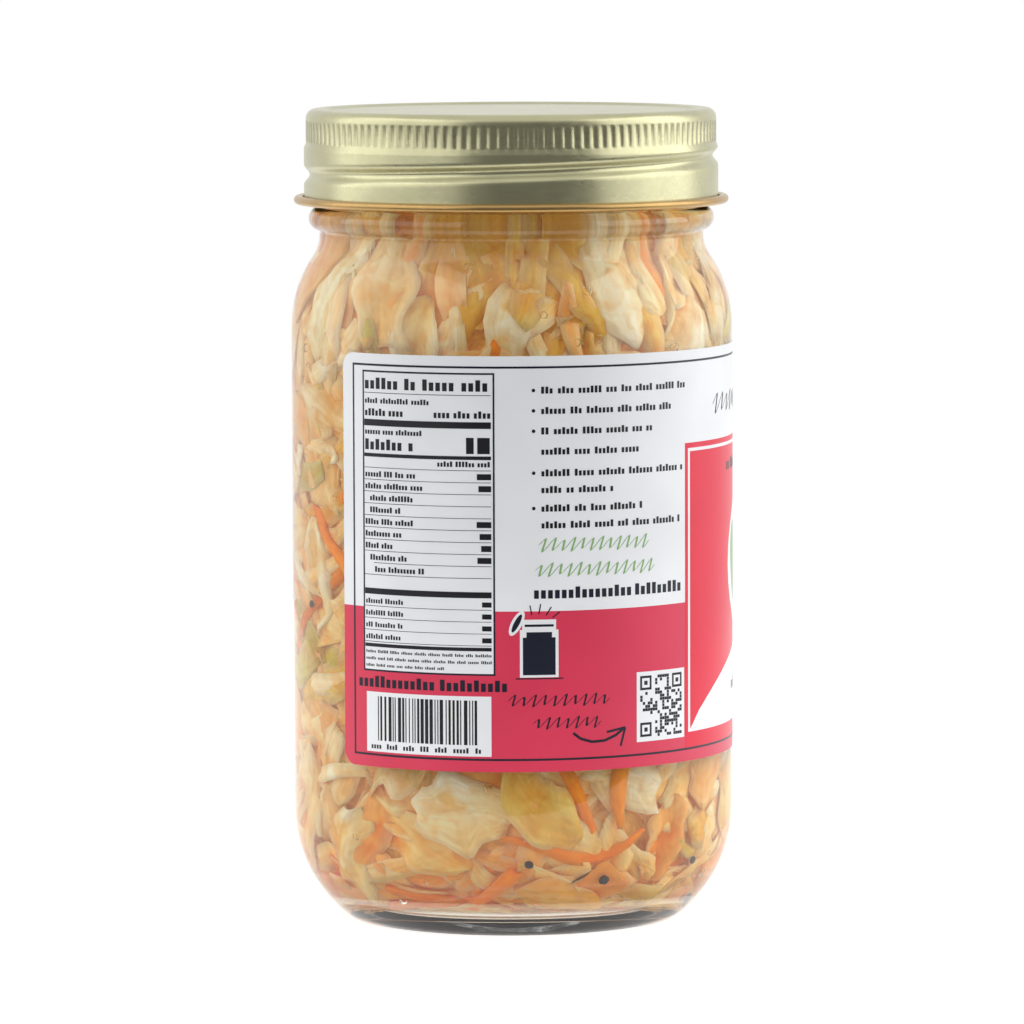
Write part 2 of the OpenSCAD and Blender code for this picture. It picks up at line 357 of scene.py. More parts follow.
def wet_shred(name, rough, glow, radius, streak_mm, depth, rim_highlight=(1.0, 0.86, 0.62, 1)):
    """Soaked, shredded plant tissue: veins along each shred, rims painted paler as a painted
    highlight, light inside it and a faint painted glow.
    """
    material, tree = new_material(name)
    tone = add(tree, "ShaderNodeAttribute", {"attribute_name": "tone"}).outputs["Color"]
    rim = add(tree, "ShaderNodeAttribute", {"attribute_name": "rim"}).outputs["Fac"]
    own = add(tree, "ShaderNodeUVMap", {"uv_map": "shred"}).outputs[0]
    # veins are drawn about 0.5 to 1 mm apart across the shred and ten times as long
    stretch = add(tree, "ShaderNodeMapping", {"Scale": (0.1, 1.0, 1.0)}, {0: own}).outputs[0]
    veins = noise(tree, streak_mm, 3.0, stretch, 1)
    # the tissue is crumpled into soft creases about 3 mm apart, in patches of 5 mm; the creases
    # are darkened with painted shade and the ridges lightened with a painted highlight
    crumple = noise(tree, 3.0, 2.0, own, 1, 0.8)
    crease_shade_and_ridge_light = ramp(tree, crumple, 0.3, 0.62, (0.98, 0.83, 0.64, 1), (1.08, 1.08, 1.08, 1))
    veined = ramp(tree, veins, 0.3, 0.7, (0.88, 0.84, 0.78, 1), (1.06, 1.06, 1.05, 1))
    mottled = ramp(tree, noise(tree, 5), 0.36, 0.5, (1.0, 0.8, 0.54, 1), (1.03, 1.03, 1.03, 1))
    body = multiply(tree, multiply(tree, multiply(tree, tone, crease_shade_and_ridge_light), veined), mottled)
    # the rims are painted paler: a painted highlight along the edges of each shred
    edge = add(tree, "ShaderNodeMath", {"operation": "MULTIPLY", 1: 0.35}, {0: rim})
    pale = add(tree, "ShaderNodeMix", {"data_type": "RGBA", 7: rim_highlight},
               {0: edge.outputs[0], 6: body})
    uneven = relief(tree, veins, 0.5, depth, relief(tree, crumple, 0.7, 3 * depth))
    # painted glow: a faint golden emission stands in for light scattered through the brine and the
    # packed shreds
    surface(tree, {"Roughness": rough, "IOR": WET_TISSUE_IOR, "Subsurface Weight": glow,
                   "Subsurface Radius": radius, "Subsurface Scale": 0.9 * MM,
                   "Emission Color": (1.0, 0.58, 0.24, 1), "Emission Strength": 0.055},
            {"Base Color": pale.outputs[2], "Normal": uneven})
    return material


def packed_depths(base):
    """Cabbage packed in the middle of the jar, seen between the shreds: golden and uneven, with
    painted shade in its hollows and a painted glow.
    """
    material, tree = new_material("packed_cabbage_depths")
    # shreds of the middle are about 4 mm apart
    heap = noise(tree, 4, 4.0, distortion=1.2)
    # painted glow: a golden emission stands in for light that wanders through the whole heap; the
    # colour darkens where the relief sinks, painted shade between the packed shreds
    surface(tree, {"Roughness": 0.5, "IOR": WET_TISSUE_IOR, "Emission Strength": 0.12,
                   "Emission Color": (1.0, 0.5, 0.16, 1)},
            {"Base Color": ramp(tree, heap, 0.35, 0.68, shade(base, 0.7), shade(base, 1.6, 0.05)),
             "Normal": relief(tree, heap, 0.8, 0.6)})
    return material


def peppercorn(base):
    """Dried, soaked spice berry: dark, wrinkled and dull."""
    material, tree = new_material("spice_berry_soaked")
    skin = noise(tree, 0.6, 3.0)
    surface(tree, {"Roughness": 0.45},
            {"Base Color": ramp(tree, skin, 0.3, 0.7, shade(base, 0.6), shade(base, 1.9)),
             "Normal": relief(tree, skin, 0.8, 0.15)})
    return material


def lacquered_tinplate(base, name="lacquered_tinplate_rolled"):
    """Tinplate rolled thin under a pale gold lacquer: satin, with fine rolling lines."""
    material, tree = new_material(name)
    place = add(tree, "ShaderNodeTexCoord").outputs["Object"]
    # rolling lines are about 0.1 mm apart; they are drawn 0.5 mm apart, and 40 mm long
    lines = add(tree, "ShaderNodeMapping", {"Scale": (0.0125, 1.0, 1.0)}, {0: place})
    rolled = noise(tree, 0.5, 2.0, lines.outputs[0])
    rough = add(tree, "ShaderNodeMapRange", {1: 0.3, 2: 0.7, 3: 0.27, 4: 0.36}, {0: rolled})
    surface(tree, {"Metallic": 1.0, "Coat Weight": 0.15, "Coat Roughness": 0.12},
            {"Base Color": ramp(tree, noise(tree, 9), 0.35, 0.65, shade(base, 0.93),
                                shade(base, 1.04)),
             "Roughness": rough.outputs[0], "Normal": relief(tree, rolled, 0.25, 0.01)})
    return material


def coated_paper(name, base, rough=0.36):
    """Coated label paper or the ink on it: a faint fibre grain under a satin coating."""
    material, tree = new_material(name)
    # paper fibres are about 0.05 mm wide; they are drawn 0.25 mm wide
    fibre = noise(tree, 0.25, 3.0)
    surface(tree, {"Roughness": rough, "IOR": 1.45, "Coat Weight": 0.12,
                   "Coat Roughness": 0.12},
            {"Base Color": ramp(tree, noise(tree, 12, 1.0), 0.3, 0.7, shade(base, 0.96),
                                shade(base, 1.03)),
             "Normal": relief(tree, fibre, 0.15, 0.01)})
    return material


# ---------------------------------------------------------------- the glass

def inner_outline(g, gap=0.0):
    """Outline of the glass inside, from the neck down to the axis, moved in by gap."""
    turn = math.degrees(math.acos(1 - (g.body_r - g.neck_r) / (g.shoulder_r + g.fillet_r)))
    shoulder_z = g.neck_z - (g.shoulder_r + g.fillet_r) * math.sin(math.radians(turn))
    inset = g.wall + gap
    heel = g.inner_heel_r - gap
    return (arc(g.neck_r + g.fillet_r, g.neck_z, g.fillet_r + inset, 180, 180 + turn)
            + arc(g.body_r - g.shoulder_r, shoulder_z, g.shoulder_r - inset, turn, 0)
            + arc(g.body_r - inset - heel, g.floor_z + g.inner_heel_r, heel, 0, -90)
            + [(0, g.floor_z + gap)])


def outer_outline(g):
    """Outline of the glass outside, from the middle of the base up to the rounded rim."""
    turn = math.degrees(math.acos(1 - (g.body_r - g.neck_r) / (g.shoulder_r + g.fillet_r)))
    shoulder_z = g.neck_z - (g.shoulder_r + g.fillet_r) * math.sin(math.radians(turn))
    heel_h = math.sqrt(g.heel_r ** 2 - (g.heel_r - g.foot_inset) ** 2)
    hollow_r = g.body_r - g.foot_inset - g.foot_w
    dome_r = (hollow_r ** 2 + g.hollow ** 2) / (2 * g.hollow)
    bead = g.ring_h / 2
    bead_cr = g.ring_r - bead
    neck_in_r = g.neck_r - g.wall
    lower = -math.degrees(math.acos((g.neck_r - bead_cr) / bead))
    upper = math.degrees(math.acos((g.finish_r - bead_cr) / bead))
    finish = fine([(g.finish_r, g.ring_z + bead * math.sin(math.radians(upper))),
                   (g.finish_r, g.rim_z - g.lip_r)], 0.4 * MM)
    return (arc(0, g.hollow - dome_r, dome_r, 90, math.degrees(math.acos(hollow_r / dome_r)), 1)
            + arc(g.body_r - g.heel_r, heel_h, g.heel_r,
                  -math.degrees(math.asin(heel_h / g.heel_r)), 0, 3)
            + arc(g.body_r - g.shoulder_r, shoulder_z, g.shoulder_r, 0, turn, 3)
            + arc(g.neck_r + g.fillet_r, g.neck_z, g.fillet_r, 180 + turn, 180)
            + arc(bead_cr, g.ring_z, bead, lower, upper, 9) + finish[1:-1]
            + arc(g.finish_r - g.lip_r, g.rim_z - g.lip_r, g.lip_r, 0, 90, 15)
            + arc(neck_in_r + g.lip_r, g.rim_z - g.lip_r, g.lip_r, 90, 180, 15))


class JAR_OT_glass(Operator):
    """Blow the glass: body, hollow base, ring and thread"""
    bl_idname = "jar.glass"
    bl_label = "Glass"

    def execute(self, context):
        g = context.scene.jar_glass
        bm = spin(outer_outline(g) + inner_outline(g), g.steps)
        for v in bm.verts:
            r = math.hypot(v.co.x, v.co.y)
            if abs(r - g.finish_r) > 1e-6 or v.co.z < g.ring_z:
                continue
            turned = (math.degrees(math.atan2(v.co.y, v.co.x)) - 90) % 360
            off = abs(v.co.z - g.thread_z - g.pitch * turned / 360)
            crest = min(1, max(0, (1.4 * MM - off) / (0.9 * MM)))
            out = g.thread_out * crest * smooth_rise(min(turned, 360 - turned) / 25)
            v.co.x *= (r + out) / r
            v.co.y *= (r + out) / r
        for face in bm.faces:
            centre = face.calc_center_median()
            out = face.normal.x * centre.x + face.normal.y * centre.y
            if g.floor_z + 0.4 * g.inner_heel_r < centre.z < g.rim_z - g.lip_r and out < 0:
                face.material_index = 1
        make_piece(bm, "glass_body",
                   [flint_glass(g.tint), wetted_glass(g.tint)], "jar")
        return {"FINISHED"}


# ---------------------------------------------------------------- the filling

# lengths, widths and thicknesses of shreds in millimetres, in the order that they are drawn
SIZES = {
    "strip": {"wide": (2.4, 5.2), "long": (16, 44), "thick": (0.6, 1.3)},
    "rib": {"wide": (5.0, 9.0), "long": (13, 32), "thick": (0.6, 1.3)},
    "leaf": {"long": (13, 30), "wide": (7, 15), "thick": (0.5, 0.9)},
    "carrot": {"long": (14, 36), "wide": (1.8, 3.2), "thick": (1.0, 1.7)},
    "loose": {"long": (9, 16), "wide": (2, 4), "thick": (0.5, 0.9)},
}
HANGING_Z = 97 * MM         # from here up the shreds hang along the wall
SHOULDER_Z = 95 * MM        # from here up the middle is golden and the right side is painted pale, a painted highlight where the right light falls


def draw_size(rng, kind):
    size = {key: rng.uniform(*pair) * MM for key, pair in SIZES[kind].items()}
    return np.array([size["long"], size["wide"], size["thick"]])


class Wall:
    """Inside of the glass unrolled, with how much of the room against it is taken."""

    def __init__(self, g, brine_z, cell):
        points = fine(list(reversed(inner_outline(g))), 1 * MM)
        top = [(g.neck_r - g.wall, g.neck_z), (g.neck_r - g.wall, brine_z)]
        path = np.array(points + fine(top, 1 * MM)[1:])
        apart = np.hypot(*np.diff(path, axis=0).T) > 1e-7
        path = path[np.append(True, apart)]
        step = np.diff(path, axis=0)
        size = np.hypot(step[:, 0], step[:, 1])
        inward = np.column_stack([-step[:, 1], step[:, 0]]) / size[:, None]
        normal = np.vstack([inward[:1], (inward[:-1] + inward[1:]) / 2, inward[-1:]])
        normal /= np.linalg.norm(normal, axis=1)[:, None]
        self.s = np.concatenate([[0], np.cumsum(size)])
        self.path, self.normal, self.cell = path, normal, cell
        self.top = self.s[-1]
        self.columns = int(TAU * (g.body_r - g.wall) / cell)
        self.taken = np.zeros((int(self.top / cell) + 2, self.columns))

    def radius(self, s):
        return np.interp(s, self.s, self.path[:, 0])

    def height(self, s):
        return np.interp(s, self.s, self.path[:, 1])

    def around(self, centre, across, along):
        """Places on the wall at distances from a centre."""
        round_r = max(self.radius(centre[1]), 6 * MM)
        return centre[0] + across / round_r, np.clip(centre[1] + along, 0.5 * MM, self.top)

    def cells(self, a, s):
        column = np.floor(a % TAU / TAU * self.columns).astype(int) % self.columns
        return np.clip((s / self.cell).astype(int), 0, len(self.taken) - 1), column

    def point(self, a, s, depth):
        r = self.radius(s) + np.interp(s, self.s, self.normal[:, 0]) * depth
        z = self.height(s) + np.interp(s, self.s, self.normal[:, 1]) * depth
        return np.stack([r * np.sin(a), -r * np.cos(a), z], axis=-1)


class Surface:
    """Flat round patch, such as the top of the brine, that shreds lie on."""

    def __init__(self, z, facing, cell):
        self.z, self.facing, self.cell = z, facing, cell
        self.taken = np.zeros((400, 400))

    def around(self, centre, across, along):
        return centre[0] + across, centre[1] + along

    def cells(self, x, y):
        return (np.clip((x / self.cell).astype(int) + 200, 0, 399),
                np.clip((y / self.cell).astype(int) + 200, 0, 399))

    def point(self, x, y, depth):
        return np.stack([x, y, self.z + self.facing * depth], axis=-1)


def template(along, across):
    """Vertices and faces of a small block cut into strips, from -0.5 to 0.5 each way."""
    bm = bmesh.new()
    bmesh.ops.create_cube(bm, size=1)
    for axis, cuts in ((0, along - 1), (1, across - 1)):
        edges = [e for e in bm.edges
                 if abs(e.verts[0].co[axis] - e.verts[1].co[axis]) > 0.9]
        if cuts:
            bmesh.ops.subdivide_edges(bm, edges=edges, cuts=cuts, use_grid_fill=True)
    bm.verts.ensure_lookup_table()
    verts = np.array([v.co[:] for v in bm.verts])
    faces = np.array([[v.index for v in f.verts] for f in bm.faces])
    bm.free()
    return verts, faces


def brine_tint_and_shade(depth, z):
    """Share of each colour left under a depth of brine, which is more orange in the heel: partly
    the brine's own colour, partly painted shade that darkens shreds lying deeper between others;
    also darker towards the neck.
    """
    low = np.clip((20 * MM - z) / (12 * MM), 0, 1)
    high = np.clip((z - 112 * MM) / (6 * MM), 0, 1)
    thick = (0.85 * depth / MM + 1.6 * low + 0.2 * high)[:, None]
    return np.exp(-thick * np.array([0.0, 0.2, 0.62]))


class Heap:
    """Like shreds gathered into one mesh, each with its own colour and vein pattern."""

    def __init__(self, along, across):
        self.shape, self.faces = template(along, across)
        self.along = along
        self.parts = []

    def lay(self, ground, rng, centre, turn, size, tone, limit, ragged=0.0, fold=0.0):
        """One shred pressed onto what is there already; False where there is no room."""
        u, v, w = self.shape.T
        size_l, size_w, size_t = size
        # outline: bent along its length, narrower at the ends, with uneven edges
        bend, sway = rng.normal(0, 0.4), rng.normal(0, 0.8)
        taper = 1 - rng.uniform(0.2, 0.6) * np.abs(2 * u) ** 4
        taper *= 1 + 0.16 * np.sin(rng.uniform(5, 11) * u + rng.uniform(0, TAU))
        skew = rng.uniform(-0.6, 0.6)
        wave = rng.uniform(0, TAU, 4)
        edge = 1 + ragged * (np.sin(9 * u + wave[0]) + 0.6 * np.sin(17 * u + wave[1]))
        lean = np.arctan(2 * bend * u + 3 * sway * u * u)
        offset = v * size_w * taper * edge
        p = (size_l * u * (1 - ragged * (2 * v) ** 2 + ragged * 0.7 * np.sin(6 * v + wave[2]))
             + skew * offset - offset * np.sin(lean))
        q = size_l * (bend * u * u + sway * u ** 3) + offset * np.cos(lean)
        across = p * math.cos(turn) - q * math.sin(turn)
        along = p * math.sin(turn) + q * math.cos(turn)
        # what lies there already, smoothed along the shred
        a, s = ground.around(centre, across, along)
        there = ground.taken[ground.cells(a, s)]
        station = np.rint((u + 0.5) * self.along).astype(int)
        high = np.array([there[station == i].max() for i in range(self.along + 1)])
        high = np.maximum(high, np.convolve(np.pad(high, 1, "edge"), [0.25, 0.5, 0.25], "valid"))
        high = np.convolve(np.pad(high, 1, "edge"), [0.25, 0.5, 0.25], "valid")
        if high.mean() > limit:
            return False
        # thinner at the edges, and thrown into lengthwise folds
        crown = 1 - 0.7 * np.abs(2 * v) ** 2.5
        pleat = (np.sin(rng.uniform(4, 9) * v + rng.uniform(-5, 5) * u + wave[3])
                 + 0.5 * np.sin(rng.uniform(6, 12) * u + 5 * v + wave[1]))
        pleat = fold * np.clip(0.5 + 0.42 * pleat, 0, 1)
        depth = 0.35 * there + 0.65 * high[station] + pleat + size_t * (0.5 + w * crown)
        points = ground.point(a, s, depth)
        # the room that the shred takes
        fill = w > 0
        for du in (-0.25, 0.25):
            aa, ss = ground.around(centre, across[fill] + du * size_l / self.along,
                                   along[fill] + du * ground.cell)
            cells = ground.cells(aa, ss)
            np.maximum.at(ground.taken, cells, depth[fill])
        for side in (0.25 * size_w, -0.25 * size_w):
            cells = ground.cells(*ground.around(centre, across[fill] - side * math.sin(turn),
                                                along[fill] + side * math.cos(turn)))
            np.maximum.at(ground.taken, cells, depth[fill] * 0.97)
        # mask of the painted highlight along each shred's rims
        rim = np.clip(np.abs(2 * v) ** 6, 0, 1)
        own = np.column_stack([u * size_l / MM, v * size_w / MM]) + rng.uniform(0, 400, 2)
        # the colour is darkened by the brine and by painted shade the deeper the shred lies
        self.parts.append((points, tone * brine_tint_and_shade(depth, points[:, 2]), rim, own))
        return True

    def build(self, name, material):
        """One mesh of all shreds, with the attributes that its material reads."""
        count = len(self.shape)
        points, tones, rims, own = (np.concatenate(part) for part in zip(*self.parts))
        faces = np.concatenate([self.faces + i * count for i in range(len(self.parts))])
        mesh = bpy.data.meshes.new(name)
        mesh.from_pydata(points.tolist(), [], faces.tolist())
        # the template's faces may wind either way, so each shred is turned outwards
        bm = bmesh.new()
        bm.from_mesh(mesh)
        bmesh.ops.recalc_face_normals(bm, faces=bm.faces)
        bm.to_mesh(mesh)
        bm.free()
        mesh.shade_smooth()
        tone = mesh.attributes.new("tone", "FLOAT_COLOR", "POINT")
        tone.data.foreach_set("color", np.column_stack([tones, np.ones(len(tones))]).ravel())
        # rim: mask of the painted highlight along the shred's edges
        rim = mesh.attributes.new("rim", "FLOAT", "POINT")
        rim.data.foreach_set("value", rims)
        corner = np.zeros(len(mesh.loops), dtype=np.int32)
        mesh.loops.foreach_get("vertex_index", corner)
        layer = mesh.uv_layers.new(name="shred")
        layer.data.foreach_set("uv", own[corner].ravel())
        return mesh_piece(mesh, name, [material])


def bare(wall, a, s, label):
    """True where the glass isn't covered by the label."""
    z = wall.height(s)
    turned = (a - label.start) % TAU
    return z < label.low_z + 4 * MM or z > label.high_z - 4 * MM or turned > label.wrap - 0.1


class JAR_OT_filling(Operator):
    """Pack cabbage, carrot and spice against the glass, over a packed middle, in brine"""
    bl_idname = "jar.filling"
    bl_label = "Filling"

    def execute(self, context):
        g, f, label = (context.scene.jar_glass, context.scene.jar_fill,
                       context.scene.jar_label)
        rng = np.random.default_rng(f.seed)
        wall = Wall(g, f.brine_z - 0.5 * MM, 0.4 * MM)
        bubbles = self.bubbles(wall, f, label, rng)
        berries = self.berries(wall, f, label, rng)
        strips, ribs, leaves, carrots = Heap(12, 2), Heap(9, 3), Heap(12, 8), Heap(10, 2)
        jobs = (["strip"] * f.strips + ["leaf"] * f.leaves + ["carrot"] * f.carrots)
        # leaves and carrot tend to come first, so they lie nearest to the glass
        late = {"strip": 0.35, "leaf": -0.05, "carrot": 0.02}
        order = np.argsort([late[kind] + rng.uniform() for kind in jobs])
        low = 14 * MM
        for index in order:
            a, s = rng.uniform(0, TAU), rng.uniform(low, wall.top - 1 * MM)
            if wall.radius(s) < rng.uniform(0, 1) * g.body_r:
                continue
            seen = bare(wall, a, s, label)
            if not seen and rng.uniform() > 0.35:
                continue
            kind = jobs[index]
            z = wall.height(s)
            tone = self.tone(f, a, z, rng)
            turn = rng.normal(0, 0.75) if rng.uniform() < 0.6 else rng.uniform(0, math.pi)
            hanging = z > HANGING_Z
            if hanging:
                turn = math.pi / 2 + rng.normal(0, 0.3)
                if kind == "carrot" and rng.uniform() < 0.6 + 0.5 * math.cos(a):
                    continue
            if kind == "leaf":
                size = draw_size(rng, kind) * (1.3 if hanging else 1.0, 1, 1)
                leaves.lay(wall, rng, (a, s), turn, size, tone, 2.0 * MM, 0.12,
                           rng.uniform(0.8, 2.6) * MM)
            elif kind == "carrot":
                size = draw_size(rng, kind)
                orange = np.array(f.carrot) * rng.uniform(0.8, 1.1)
                carrots.lay(wall, rng, (a, s), turn, size, orange, 1.5 * MM, 0.06)
            else:
                heap, kind = (strips, "strip") if rng.uniform() < 0.55 else (ribs, "rib")
                size = draw_size(rng, kind)
                heap.lay(wall, rng, (a, s), turn, size, tone, f.depth - 1.1 * MM, 0.05,
                         rng.uniform(0, 0.6) * MM)
        self.ends(g, f, rng, strips)
        strips.build("cabbage_strips", wet_shred("pickled_cabbage_shredded", 0.34, 0.35,
                                                 (2.4, 1.6, 0.8), 0.5, 0.12))
        ribs.build("cabbage_ribs", wet_shred("pickled_cabbage_ribs", 0.3, 0.4,
                                             (3.0, 2.1, 1.2), 0.9, 0.2))
        leaves.build("cabbage_leaves", wet_shred("pickled_cabbage_leaf", 0.3, 0.4,
                                                 (2.6, 1.8, 0.9), 1.1, 0.25))
        carrots.build("carrot_shreds", wet_shred("pickled_carrot", 0.33, 0.3,
                                                 (1.2, 0.7, 0.3), 0.7, 0.12,
                                                  (0.95, 0.38, 0.06, 1)))
        self.core(g, f)
        self.brine(g, f, bubbles)
        self.spice(f, berries)
        return {"FINISHED"}

    def tone(self, f, a, z, rng):
        """Colour of one shred: mostly cream, with golden, green, pale and stained ones; pale ones
        crowd the right of the shoulder as a painted highlight.
        """
        pick = rng.uniform()
        turned = (a + math.pi) % TAU - math.pi
        golden = math.exp(-((turned - 0.1) / 0.45) ** 2) if z > SHOULDER_Z else 0.0
        stained = 0.25 if z < 30 * MM else 0.12
        right = z > SHOULDER_Z and turned > 0.45
        # above the shoulder most shreds on the right are painted pale: a painted highlight where
        # the right light falls
        if right and pick > 0.25:
            base = f.pale
        elif pick < 0.62 * golden:
            base = f.gold
        elif pick < 0.04 + 0.5 * golden:
            base = f.olive
        elif pick < 0.12 + 0.5 * golden:
            base = f.gold
        elif pick < 0.12 + stained + 0.5 * golden:
            base = f.blush
        elif pick < 0.62:
            base = f.cream
        else:
            base = f.pale
        return np.clip(np.array(base) * rng.uniform(0.88, 1.04), 0, 1)

    def bubbles(self, wall, f, label, rng):
        """Bubbles that cling to the glass; the room that they take is kept free."""
        out = []
        while len(out) < f.bubbles:
            a, s = rng.uniform(0, TAU), rng.uniform(26 * MM, wall.top - 3 * MM)
            if not bare(wall, a, s, label):
                continue
            r = rng.uniform(0.4, 1.0) * MM
            aa, ss = wall.around((a, s), np.array([-1, 0, 1, 0, 0]) * r,
                                 np.array([0, -1, 0, 1, 0]) * r)
            wall.taken[wall.cells(aa, ss)] = 2.3 * r
            out.append((wall.point(a, s, r + 0.12 * MM), r))
        return out

    def berries(self, wall, f, label, rng):
        """Dark specks lie against the glass too, mostly low in the jar."""
        out = []
        while len(out) < f.berries:
            a = rng.uniform(0, TAU)
            s = rng.uniform(24 * MM, 60 * MM) if rng.uniform() < 0.7 else \
                rng.uniform(24 * MM, wall.top - 4 * MM)
            if not bare(wall, a, s, label):
                continue
            r = rng.uniform(0.7, 1.35) * MM
            aa, ss = wall.around((a, s), rng.uniform(-1, 1, 30) * r, rng.uniform(-1, 1, 30) * r)
            wall.taken[wall.cells(aa, ss)] = 1.6 * r
            out.append((wall.point(a, s, 0.62 * r), r, a))
        return out

    def ends(self, g, f, rng, strips):
        """Shreds on the floor of the jar and shreds that stand out of the brine."""
        floor = Surface(g.floor_z, 1, 0.4 * MM)
        top = Surface(f.brine_z - 1.9 * MM, 1, 0.4 * MM)
        for ground, count, reach, limit in ((floor, 130, 15, 1.6), (top, 150, 21, 1.6)):
            for _ in range(count):
                a, r = rng.uniform(0, TAU), reach * MM * math.sqrt(rng.uniform())
                centre = (r * math.sin(a), -r * math.cos(a))
                size = draw_size(rng, "loose")
                strips.lay(ground, rng, centre, rng.uniform(0, math.pi), size,
                           self.tone(f, a, 60 * MM, rng), limit * MM)

    def core(self, g, f):
        """Packed middle with the relief of the shreds that it is made of."""
        side = list(reversed(inner_outline(g, f.depth)))
        top_r = g.neck_r - g.wall - f.depth
        outline = fine(side + [(top_r, f.brine_z - 1.2 * MM), (0, f.brine_z - 1.2 * MM)], 1.3 * MM)
        bm = spin(outline, 168)
        for v in bm.verts:
            x, y, z = (c / MM for c in v.co)
            bump = (math.sin(x * 0.9 + 2 * math.sin(z * 0.7)) + math.sin(y * 1.1 - z * 1.3)
                    + math.sin(z * 1.7 + x * 0.6 + y * 0.5))
            v.co += v.normal * (bump * 0.16 * MM)
        make_piece(bm, "packed_middle", [packed_depths(f.deep)])

    def brine(self, g, f, bubbles):
        """Brine from wall to wall, with a bubble left out of it at each place."""
        side = list(reversed(inner_outline(g, -f.reach)))
        # over the flat floor the brine stops short, so the thick base keeps its mirror look
        flat_r, flat_z = side[1][0] - 0.4 * MM, g.floor_z + f.lift
        side[:1] = [(0, flat_z), (flat_r, flat_z)]
        neck = g.neck_r - g.wall + f.reach
        creep = [(neck, f.brine_z + 0.5 * MM), (neck - 0.5 * MM, f.brine_z + 0.12 * MM),
                 (neck - 1.4 * MM, f.brine_z), (0, f.brine_z)]
        bm = spin(side + creep, 192)
        for centre, r in bubbles:
            new = bmesh.ops.create_icosphere(bm, subdivisions=2, radius=r)["verts"]
            bmesh.ops.translate(bm, verts=new, vec=Vector(centre))
            faces = list({face for v in new for face in v.link_faces})
            bmesh.ops.reverse_faces(bm, faces=faces)
        make_piece(bm, "brine", [cabbage_brine(f.brine)], "kraut")

    def spice(self, f, berries):
        bm = bmesh.new()
        for centre, r, a in berries:
            new = bmesh.ops.create_icosphere(bm, subdivisions=2, radius=r)["verts"]
            for v in new:
                v.co *= 1 + 0.12 * math.sin(v.co.x / r * 5 + a * 9) * math.sin(v.co.z / r * 4)
            bmesh.ops.scale(bm, verts=new, vec=(1, 0.6, 0.85))
            bmesh.ops.rotate(bm, verts=new, matrix=Matrix.Rotation(a, 3, "Z"))
            bmesh.ops.translate(bm, verts=new, vec=Vector(centre))
        make_piece(bm, "spice_specks", [peppercorn(f.dark)])


# ---------------------------------------------------------------- the cap

class JAR_OT_cap(Operator):
    """Press the screw cap: sunken panel, knurls, thread groove and rolled edge"""
    bl_idname = "jar.cap"
    bl_label = "Cap"

    def execute(self, context):
        c = context.scene.jar_cap
        edge_r = c.knurl_r - c.corner_r
        panel_z = c.top_z - c.panel_drop
        roll = c.curl_h / 2 - c.sheet
        mid_z = c.low_z + c.curl_h / 2
        in_cr = c.skirt_r + roll
        out_cr = c.curl_r - c.curl_h / 2
        band = [(c.knurl_r, c.knurl_z + c.knurl_h * part)
                for part in (1, 0.95, 0.88, 0.5, 0.12, 0.05, 0)]
        outline = ([(0, panel_z), (10 * MM, panel_z), (22 * MM, panel_z),
                    (c.panel_r - 0.3 * MM, panel_z), (c.panel_r, panel_z + 0.03 * MM),
                    (c.panel_r + 0.5 * MM, c.top_z - 0.05 * MM),
                    (c.panel_r + 0.8 * MM, c.top_z), (edge_r - 0.3 * MM, c.top_z)]
                   + arc(edge_r, c.top_z - c.corner_r, c.corner_r, 90, 0, 15) + band
                   + [(c.skirt_r, c.knurl_z - 0.8 * MM)]
                   + fine([(c.skirt_r, c.knurl_z - 1.1 * MM), (c.skirt_r, mid_z)], 0.34 * MM)
                   + arc(in_cr, mid_z, roll, 180, 270, 18)[1:]
                   + arc(out_cr, mid_z, roll, -90, 90, 15)
                   + arc(in_cr + 0.2 * MM, mid_z, roll, 90, 140, 18))
        bm = spin(outline, 4 * c.knurls)
        if max(bm.faces, key=lambda face: face.calc_center_median().z).normal.z < 0:
            bmesh.ops.reverse_faces(bm, faces=bm.faces)
        pitch = 360 / c.knurls
        high = c.knurl_z + c.knurl_h
        for v in bm.verts:
            r, a, z = math.hypot(v.co.x, v.co.y), math.degrees(math.atan2(v.co.y, v.co.x)), v.co.z
            if abs(r - c.knurl_r) < 1e-6 and c.knurl_z < z < high:
                part = round(a / pitch * 4) % 4
                a += {0: 0, 1: 0.06, 2: 0, 3: -0.06}[part] * pitch
                ease = smooth_rise(min(z - c.knurl_z, high - z) / (0.6 * MM))
                r -= c.knurl_depth * ease if part == 2 else 0
            elif abs(r - c.skirt_r) < 1e-6 and z > mid_z:
                turned = (a - 90) % 360
                off = z - c.groove_z - c.pitch * turned / 360
                if abs(off) < c.groove_w / 2:
                    r -= (c.groove * smooth_rise(min(turned, 360 - turned) / 25)
                          * math.cos(math.pi * off / c.groove_w) ** 2)
            else:
                continue
            v.co = Vector((r * math.cos(math.radians(a)), r * math.sin(math.radians(a)), z))
        for face in bm.faces:
            centre = face.calc_center_median()
            if math.hypot(centre.x, centre.y) > c.skirt_r + 0.2 * MM and centre.z < mid_z + roll:
                face.material_index = 1
        piece = make_piece(bm, "screw_cap",
                           [lacquered_tinplate(c.lacquer),
                            lacquered_tinplate(c.rolled, "lacquered_tinplate_edge")], "lid")
        sheet = piece.modifiers.new("sheet", "SOLIDIFY")
        sheet.thickness, sheet.offset, sheet.use_even_offset = c.sheet, -1, True
        return {"FINISHED"}


# ---------------------------------------------------------------- the label

